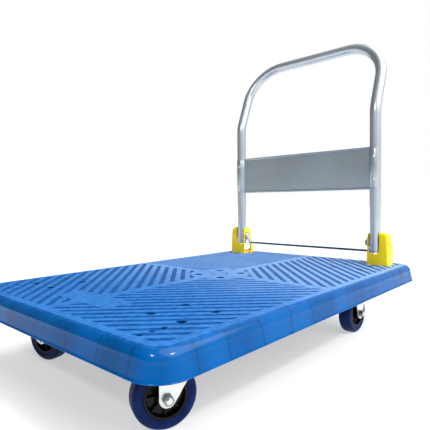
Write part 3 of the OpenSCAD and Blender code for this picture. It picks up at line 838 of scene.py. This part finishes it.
# %% Screws, nuts and rivets
UPRIGHT = (0, 0, 0)
SCREW_R, HEAD_H, NUT_R, NUT_H = 4 * MM, 4.5 * MM, 7.2 * MM, 6.5 * MM
for kind, screws, nuts, head_r in (("caster", "caster_bolts", "caster_nuts", 6.5 * MM),
                                   ("bracket", "bracket_screws", "bracket_nuts", 6.4 * MM)):
    low, high = islands(screws)[0]
    shape = screw("bolt", head_r, HEAD_H * 0.95, SCREW_R, high.z - low.z - HEAD_H)
    heads = [p - Vector((0, 0, HEAD_H)) for p in seats(screws, 2, 1)]
    set_name = kind + ("_bolt_set" if kind == "caster" else "_screw_set")
    scatter(set_name, shape, heads, UPRIGHT, "cart", "zinc", screws)
    nut = hexagon("nut", NUT_R, NUT_H, SCREW_R)
    scatter(kind + "_nut_set", nut, seats(nuts, 2, -1), UPRIGHT, "cart", "zinc", nuts)

RIVET_R, RIVET_H, RIVET_SUNK = 4 * MM, 2.2 * MM, 0.4 * MM
turns = [math.tau * k / 32 for k in range(9)]
dome = [(0, -0.6 * MM), (RIVET_R, -0.6 * MM)]
dome += [(RIVET_R * math.cos(a), RIVET_H * math.sin(a) * 0.95) for a in turns]
fronts = [p - Vector((RIVET_H - RIVET_SUNK, 0, 0)) for p in seats("panel_rivets", 0, 1)]
forwards = (0, math.radians(90), 0)
scatter("panel_rivet_set", lathe("rivet", dome, 24), fronts, forwards, "handle", "zinc", "panel_rivets")

# %% [markdown]
# ## Hinge brackets and latches
# The two brackets are moulded in tough yellow plastic. Their hollow, slotted shape is already exact in the
# frame, but a moulding has no sharp corners. So a copy of each is merged, freed of the triangles on its
# flat faces, and given a small bevel wherever two faces meet.

# %% Softened copies
def softened(node, body, slot, width, segments=2):
    """A copy of a frame node with merged flats and rounded edges."""
    copy = new_piece(node + "_soft", [], [])
    copy.data = frame["nodes"][node].data.copy()
    work = bmesh.new()
    work.from_mesh(copy.data)
    bmesh.ops.remove_doubles(work, verts=work.verts, dist=2e-6)
    bmesh.ops.dissolve_limit(work, angle_limit=math.radians(1), verts=work.verts, edges=work.edges)
    work.to_mesh(copy.data)
    work.free()
    return hand_in(bevel(copy, width, 28, segments), body, slot, node, degrees=40)


for side in ("left", "right"):
    softened("bracket_" + side, "cart", "bracket_plastic", 1.1 * MM, 3)
    softened("latch_" + side, "release", "zinc", 0.3 * MM)
    softened("front_plate_" + side, "cart", "zinc", 0.5 * MM)

# %% [markdown]
# A dark steel rod runs from latch to latch. A foot on it frees the handle.

# %% Release bar
bar_low, bar_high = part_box("release_bar")
bar_middle = (bar_low + bar_high) / 2
bar_r, half_bar, end_round = (bar_high.z - bar_low.z) / 2, (bar_high.y - bar_low.y) / 2, 0.7 * MM
half_outline = [(0, half_bar), (bar_r - end_round, half_bar), (bar_r, half_bar - end_round)]
outline = [(r, -h) for r, h in half_outline] + half_outline[::-1]
across = Matrix.Translation(bar_middle) @ Matrix.Rotation(math.pi / 2, 4, "X")
hand_in(place_mesh(lathe("release_rod", outline, 32), across), "release", "bar_steel", "release_bar")

# %% [markdown]
# ## Wheels
# Each wheel is an elastic rubber tyre on a black hub. Both are turned shapes, so a lathe makes them; the
# hub's ribs repeat round the axle, so a tree places and joins them.

# %% Tyre and hub
def half_size(node):
    low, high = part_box(node)
    return (high - low) / 2


WHEEL_R, HALF_W = half_size("rear_tyre_left").z, half_size("rear_tyre_left").y
RIM_R, HUB_W = half_size("rear_hub_left").z, half_size("rear_hub_left").y
BUSH_R, HUB_BOSS_R = 9 * MM, 14 * MM
SPOKES = 8


def mirrored_outline(half):
    """An outline from its upper half, which runs from the outside in."""
    return half + [(r, -h) for r, h in reversed(half)]


def tyre_outline():
    shoulder = 8.5 * MM
    tread = [(WHEEL_R, 2 * MM)] + arc(WHEEL_R - shoulder, HALF_W - shoulder, shoulder, 0, 90, 12)
    # a shallow ring is moulded into the side wall: millimetres out from the rim, and in from the side
    wall = ((5.2, 0), (4.4, 0.9), (3.2, 0.9), (2.4, 0.2), (0.8, 0.4), (0, 1.4))
    return mirrored_outline(tread + [(RIM_R + out * MM, HALF_W - sunk * MM) for out, sunk in wall])


def hub_outline():
    lip = HALF_W - 0.6 * MM
    # millimetres in from the rim's edge, and down from its lip
    edge = ((0, 1.2), (0.5, 0.2), (1.2, 0), (3.4, 0), (4.2, 0.8))
    rim = [(RIM_R, 11 * MM)] + [(RIM_R - into * MM, lip - drop * MM) for into, drop in edge]
    rim += [(RIM_R - 4.8 * MM, 7 * MM)]
    dish = arc(RIM_R - 7.8 * MM, 7 * MM, 3 * MM, 0, -90, 5)
    boss = [(HUB_BOSS_R + 2.6 * MM, 3.6 * MM), (HUB_BOSS_R + 0.8 * MM, 5.4 * MM),
            (HUB_BOSS_R, HUB_W - 0.9 * MM), (HUB_BOSS_R - 0.9 * MM, HUB_W),
            (BUSH_R + 0.7 * MM, HUB_W), (BUSH_R, HUB_W - 0.7 * MM)]
    return mirrored_outline(rim + dish + boss)


def spoke_tree():
    tree = Tree("hub_ribs")
    count = tree.input("Ribs", "Int", SPOKES)
    thick = tree.input("Thickness", "Float", 2.6 * MM)
    inner = tree.input("Inner radius", "Float", HUB_BOSS_R - 2 * MM)
    outer = tree.input("Outer radius", "Float", RIM_R - 2.5 * MM)
    height = tree.input("Height", "Float", 19 * MM)
    size = tree.vector(outer - inner, thick, height)
    rib = tree.block(size, tree.vector((outer + inner) * 0.5))
    line = tree.add("GeometryNodeMeshLine", None, {"Count": count, "Offset": (0, 0, 0)})
    index = tree.add("GeometryNodeInputIndex")
    turn = tree.vector(z=index * (math.tau / SPOKES))
    ribs = tree.copies(line, rib, turn)
    tree.end(tree.solid("UNION", tree.start, [ribs]), FINISHES["black_plastic"])
    return tree


hub_ribs = spoke_tree()
CORNERS = [(end, side) for end in ("front", "rear") for side in ("left", "right")]
AXLE_JOINT = {f"{end}_{side}": JOINTS[f"{end}_wheel_{side}_roll"] for end, side in CORNERS}


def axle_frame(wheel):
    """The matrix from a piece turned about Z to a wheel, its top towards the cart's outer side."""
    joint = AXLE_JOINT[wheel]
    out = Vector(joint["axis"]) * (1 if wheel.endswith("left") else -1)
    return Matrix.Translation(Vector(joint["pos_m"])) @ out.to_track_quat("Z", "Y").to_matrix().to_4x4()


for end, side in CORNERS:
    wheel, body = f"{end}_{side}", f"{end}_wheel_{side}"
    tyre = place_mesh(lathe(f"{wheel}_elastic_tyre", tyre_outline(), 128), axle_frame(wheel))
    hand_in(tyre, body, "tyre_rubber", f"{end}_tyre_{side}", degrees=50)
    hub = hub_ribs.run(lathe(f"{wheel}_ribbed_hub", hub_outline(), 96), {})
    hand_in(place_mesh(hub, axle_frame(wheel)), body, "black_plastic", f"{end}_hub_{side}", degrees=32)

# %% [markdown]
# ## Axle bolts and forks
# A zinc-plated bolt crosses each fork, with its nut and threaded end on the cart's outer side. The fork is
# pressed from sheet: each leg is flat down its trailing edge and folded inwards along a crease in front,
# which stiffens it without touching the tyre.

# %% Axles and nuts
AXLE_R, AXLE_HEX_R, AXLE_NUT_H, AXLE_HEAD_H = 5 * MM, 8.5 * MM, 7 * MM, 6 * MM
THREAD_OUT, THREAD_PITCH = 2 * MM, 1.25 * MM
LEG_IN, FORK_T, EYE_R = 19.8 * MM, 3 * MM, 13 * MM
OUTSIDE = LEG_IN + FORK_T                      # from the wheel's middle to a leg's outer face


def raised(piece, height):
    return place_mesh(piece, Matrix.Translation((0, 0, height)))


for end, side in CORNERS:
    wheel = f"{end}_{side}"
    body = f"swivel_{side}" if end == "front" else "cart"
    nut = raised(hexagon("nut", AXLE_HEX_R, AXLE_NUT_H, AXLE_R), OUTSIDE)
    thread = raised(threaded("thread", AXLE_R, THREAD_OUT + AXLE_NUT_H, THREAD_PITCH), OUTSIDE)
    head = raised(hexagon("head", AXLE_HEX_R, AXLE_HEAD_H, 0), -OUTSIDE - AXLE_HEAD_H)
    rod = cylinder("rod", AXLE_R, -OUTSIDE, OUTSIDE)
    bolt = join(f"{wheel}_axle_bolt", [thread, head, rod])
    if end == "front":
        bolt_node, nut_node = [f"front_axle_{side}"], [f"front_axle_nut_{side}"]
    else:
        # one frame node holds both rear axles, and the left pieces stand for it
        bolt_node, nut_node = (["rear_axles"], ["rear_axle_nuts"]) if side == "left" else ([], [])
    hand_in(place_mesh(bolt, axle_frame(wheel)), body, "zinc", *bolt_node)
    nut.name = f"{wheel}_axle_nut"
    hand_in(place_mesh(nut, axle_frame(wheel)), body, "zinc", *nut_node)
    nut.data.materials[0] = FINISHES["dark_zinc"]

# %% [markdown]
# A leg's outline is a band stretched round its eye and its top corners. Each level of the sheet runs from
# edge to edge of that band, and what lies in front of the crease bends in as far as the wheel allows.

# %% Fork legs
def hull_span(points, z):
    """The least and greatest x at height z of the outline stretched round a set of points."""
    found = []
    for ax, az in points:
        for bx, bz in points:
            if az <= z <= bz:
                found.append(ax if bz - az < 1e-9 else ax + (bx - ax) * (z - az) / (bz - az))
    return min(found), max(found)


def leg_sheet(name, eye_x, eye_z, half_top, top_z, out, fold):
    """One leg in the fork's frame: x along the trail, y outwards, z up, with its front folded inwards."""
    shoulder, shoulder_drop, corner_drop = 8 * MM, 22 * MM, 10 * MM
    rounds = [(eye_x, eye_z, EYE_R)]
    if eye_x > 0:
        rounds.append((eye_x + EYE_R - shoulder, top_z - shoulder_drop, shoulder))
    turns = [math.tau * k / 96 for k in range(96)]
    points = [(cx + r * math.cos(a), cz + r * math.sin(a)) for cx, cz, r in rounds for a in turns]
    points += [(sx * half_top, top_z - drop) for sx in (-1, 1) for drop in (0, corner_drop)]
    eye_rows, leg_rows, columns = 12, 34, 14
    heights = [eye_z - EYE_R * math.cos(math.pi / 2 * k / eye_rows) for k in range(1, eye_rows + 1)]
    heights += [eye_z + (top_z - eye_z) * k / leg_rows for k in range(1, leg_rows + 1)]
    crease = eye_x - EYE_R + 5 * MM
    rings = []
    for z in heights:
        front, back = hull_span(points, min(z, top_z))
        row = []
        for c in range(columns + 1):
            x = back + (front - back) * c / columns
            # half a millimetre of room beside the hub, 2.6 beside the tyre, and more beyond it
            far = math.hypot(x - eye_x, z - eye_z)
            room = 0.5 * MM + 2.1 * MM * min(1, max(0, (far - 16 * MM) / (12 * MM)))
            room += max(0.0, far - WHEEL_R - 1 * MM) * 0.8
            row.append((x, out - min(max(0.0, crease - x) * fold, room), z))
        rings.append(row)
    outer = [p for row in rings for p in row]
    inner = [(x, y - FORK_T, z) for x, y, z in outer]
    count, rows, total = columns + 1, len(heights) - 1, len(outer)
    faces = [(r * count + c, r * count + c + 1, (r + 1) * count + c + 1, (r + 1) * count + c)
             for r in range(rows) for c in range(columns)]
    faces += [tuple(total + k for k in reversed(face)) for face in faces]
    border = [c for c in range(columns)] + [r * count + columns for r in range(rows)]
    border += [rows * count + c for c in range(columns, 0, -1)] + [r * count for r in range(rows, 0, -1)]
    for k, here in enumerate(border):
        after = border[(k + 1) % len(border)]
        faces.append((here, after, total + after, total + here))
    return bevel(tidy_mesh(new_piece(name, outer + inner, faces)), 0.5 * MM, 50)


def fork_matrix(wheel):
    """From the fork's frame under the deck to its place."""
    end, side = wheel.split("_")
    place = axle = Vector(AXLE_JOINT[wheel]["pos_m"])
    if end == "front":
        place = Vector(JOINTS["swivel_" + side]["pos_m"])
    turn = Matrix.Rotation(math.atan2(axle.y - place.y, axle.x - place.x), 4, "Z")
    return Matrix.Translation((place.x, place.y, deck_low.z)) @ turn


EYE_Z = WHEEL_R - deck_low.z
PLATE_T, DISC_TOP, DISC_R, RACE_R = 3.5 * MM, -13.8 * MM, 31.5 * MM, 28.3 * MM
PIN_HOLE_R = 6.1 * MM
TRAIL, REAR_HALF_TOP, FOLD = 33 * MM, 35.5 * MM, 0.55


def crown():
    """The dished top of a swivel fork: a disc with an upturned rim round the ball race."""
    low, rim, edge, turn_r = DISC_TOP - FORK_T, DISC_TOP + 4 * MM, 0.6 * MM, 2 * MM
    outline = [(PIN_HOLE_R, low), (DISC_R - turn_r, low)]
    outline += arc(DISC_R - turn_r, low + turn_r, turn_r, -90, 0, 5)
    outline += [(DISC_R, rim - edge), (DISC_R - edge, rim), (RACE_R + edge, rim), (RACE_R, rim - edge),
                (RACE_R, DISC_TOP), (PIN_HOLE_R, DISC_TOP)]
    return lathe("crown", outline, 72)


def rear_plate():
    outline = round_corners(Vector((0, 0, 0)), 48.5 * MM, 46.5 * MM, 10 * MM, 6)
    rings = [[(x, y, z) for x, y in outline] for z in (-PLATE_T, 0)]
    return bevel(loft("plate", rings), 0.5 * MM, 50)


for end, side in CORNERS:
    wheel, front = f"{end}_{side}", end == "front"
    trail, fold = (TRAIL, FOLD) if front else (0.0, 0.0)
    half_top = math.sqrt(DISC_R ** 2 - OUTSIDE ** 2) - 1 * MM if front else REAR_HALF_TOP
    top_z = DISC_TOP - FORK_T / 2 if front else -PLATE_T
    legs = [leg_sheet("leg", trail, EYE_Z, half_top, top_z, OUTSIDE, fold) for _ in range(2)]
    tidy_mesh(place_mesh(legs[1], Matrix.Scale(-1, 4, (0, 1, 0))))
    fork = join(f"{wheel}_fork_pressing", legs + [crown() if front else rear_plate()])
    body = f"swivel_{side}" if front else "cart"
    hand_in(place_mesh(fork, fork_matrix(wheel)), body, "zinc", f"{end}_fork_{side}", degrees=32)

# %% [markdown]
# ## Latch springs
# A small coil lifts each end of the release bar. A spiral curve with a round profile is exactly that.

# %% Coils
WIRE_R = 0.5 * MM
SPRING_AIR = 0.4 * MM                          # left above a spring that is pressed down


def coil_tree(material):
    tree = Tree("coil")
    turns = tree.input("Turns", "Float", 5.0)
    radius = tree.input("Coil radius", "Float", 2.6 * MM)
    wire = tree.input("Wire radius", "Float", WIRE_R)
    height = tree.input("Height", "Float")
    place = tree.input("Place", "Vector")
    values = {"Resolution": 24, "Rotations": turns, "Start Radius": radius, "End Radius": radius,
              "Height": height - wire * 2}
    spiral = tree.add("GeometryNodeCurveSpiral", None, values)
    ring = tree.add("GeometryNodeCurvePrimitiveCircle", None, {"Resolution": 10, "Radius": wire})
    values = {"Curve": spiral, "Profile Curve": ring, "Fill Caps": True}
    coil = tree.add("GeometryNodeCurveToMesh", None, values)
    tree.end(tree.add("GeometryNodeTransform", None, {"Geometry": coil, "Translation": place}), material)
    return tree


RELEASE_TRAVEL = JOINTS["release_push"]["range_m"][1]
coils = coil_tree(FINISHES["spring_steel"])
for side in ("left", "right"):
    low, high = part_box("latch_spring_" + side)
    middle, height = (low + high) / 2, high.z - low.z
    inputs = {"Height": height, "Place": (middle.x, middle.y, low.z + WIRE_R)}
    coil = coils.run(points_object(f"latch_coil_{side}", []), inputs)
    hand_in(coil, "cart", "spring_steel", "latch_spring_" + side, degrees=60)
    # the share of its height that is left when the latch plate presses the coil down as far as the bar
    # travels
    pressed = (height - RELEASE_TRAVEL - SPRING_AIR) / height
    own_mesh(coil)

# %% [markdown]
# ## Studio
# The floor is white and glows a little, so the cart's shadow stays faint. One broad light comes from
# above, and the surroundings are bright on one side and dim on the other, which draws the light and dark
# bands along the tube. Two small, strong lamps make the two short highlights on the near corner.

# %% Floor
def floor_finish():
    f = Finish("studio_white", (0.55, 0.55, 0.55), 0.9, specular=0.0)
    f.set("Base Color", f.blend(f.noise(3.0).ramp(0.3, 0.7), (0.55, 0.55, 0.55), (0.57, 0.57, 0.57)))
    f.set("Emission Color", (1, 1, 1, 1))
    f.set("Emission Strength", 0.5)
    return f.material


HALF_FLOOR = 30.0
floor_corners = [(x * HALF_FLOOR, y * HALF_FLOOR, 0) for x, y in ((-1, -1), (1, -1), (1, 1), (-1, 1))]
floor = new_piece("studio_floor", floor_corners, [(0, 1, 2, 3)])
floor.data.materials.append(floor_finish())


# %% Lights
def light(name, kind, towards, strength, place=(0, 0, 0), **settings):
    """A lamp that shines in a direction."""
    data = bpy.data.lights.new(name, kind)
    data.energy = strength
    for key, value in settings.items():
        setattr(data, key, value)
    lamp = bpy.data.objects.new(name, data)
    lamp.location = place
    lamp.rotation_euler = Vector(towards).to_track_quat("-Z", "Y").to_euler()
    scene.collection.objects.link(lamp)


# the key is a sun as wide as a softbox, so it is even over the whole floor
light("key", "SUN", (0.25, -0.62, -1.0), 3.3, angle=math.radians(70))
for name, place, length, width, power in (("window", (0.1, 2.9, 2.9), 0.9, 0.3, 70),
                                          ("door", (2.5, 0.75, 2.2), 0.3, 0.2, 24)):
    to_corner = deck_high - Vector(place)
    light(name, "AREA", to_corner, power, place, shape="RECTANGLE", size=length, size_y=width)

world = bpy.data.worlds.new("studio")
scene.world = world
world.use_nodes = True
sky = Graph()
sky.tree = world.node_tree
BRIGHT_SIDE = (-0.45, 0.75, 0.48)
whence = sky.add("ShaderNodeTexCoord", out="Generated")
values = {0: whence, 1: BRIGHT_SIDE}
facing = sky.add("ShaderNodeVectorMath", {"operation": "DOT_PRODUCT"}, values, out="Value")
glow = facing.ramp(-0.35, 0.75, 0.09, 0.62)
seen = sky.add("ShaderNodeLightPath", out="Is Camera Ray")
# the camera sees plain white, while the cart is lit and reflected in by the softer glow
level = sky.add("ShaderNodeMix", None, {"Factor": seen, "A": glow, "B": 1.0})
background = sky.tree.nodes["Background"]
background.inputs["Color"].default_value = (1, 1, 1, 1)
sky.put(background.inputs["Strength"], level)
scene.view_settings.view_transform = "Standard"
print("lights", len(bpy.data.lights))

# %% [markdown]
# The camera stands low, in front of the near left corner, and looks almost level along the deck.

# %% Camera
VIEW_AZIMUTH = math.radians(41.97)   # how far the view turns from the deck's length
VIEW_PITCH = math.radians(1.606)
VIEW_ROLL = math.radians(-0.462)
EYE = Vector((0.7443, 0.6531, 0.3334))

ahead = Vector((-math.cos(VIEW_AZIMUTH) * math.cos(VIEW_PITCH),
                -math.sin(VIEW_AZIMUTH) * math.cos(VIEW_PITCH), -math.sin(VIEW_PITCH)))
sideways = Vector((-math.sin(VIEW_AZIMUTH), math.cos(VIEW_AZIMUTH), 0))
upward = sideways.cross(ahead)
right = sideways * math.cos(VIEW_ROLL) + upward * math.sin(VIEW_ROLL)
up = upward * math.cos(VIEW_ROLL) - sideways * math.sin(VIEW_ROLL)
camera = bpy.data.objects.new("camera", bpy.data.cameras.new("camera"))
camera.data.lens = 35.37                       # millimetres, on the usual 36 mm frame
camera.matrix_world = Matrix.Translation(EYE) @ Matrix((right, up, -ahead)).transposed().to_4x4()
scene.collection.objects.link(camera)
scene.camera = camera
print("camera at", [round(v, 3) for v in EYE])
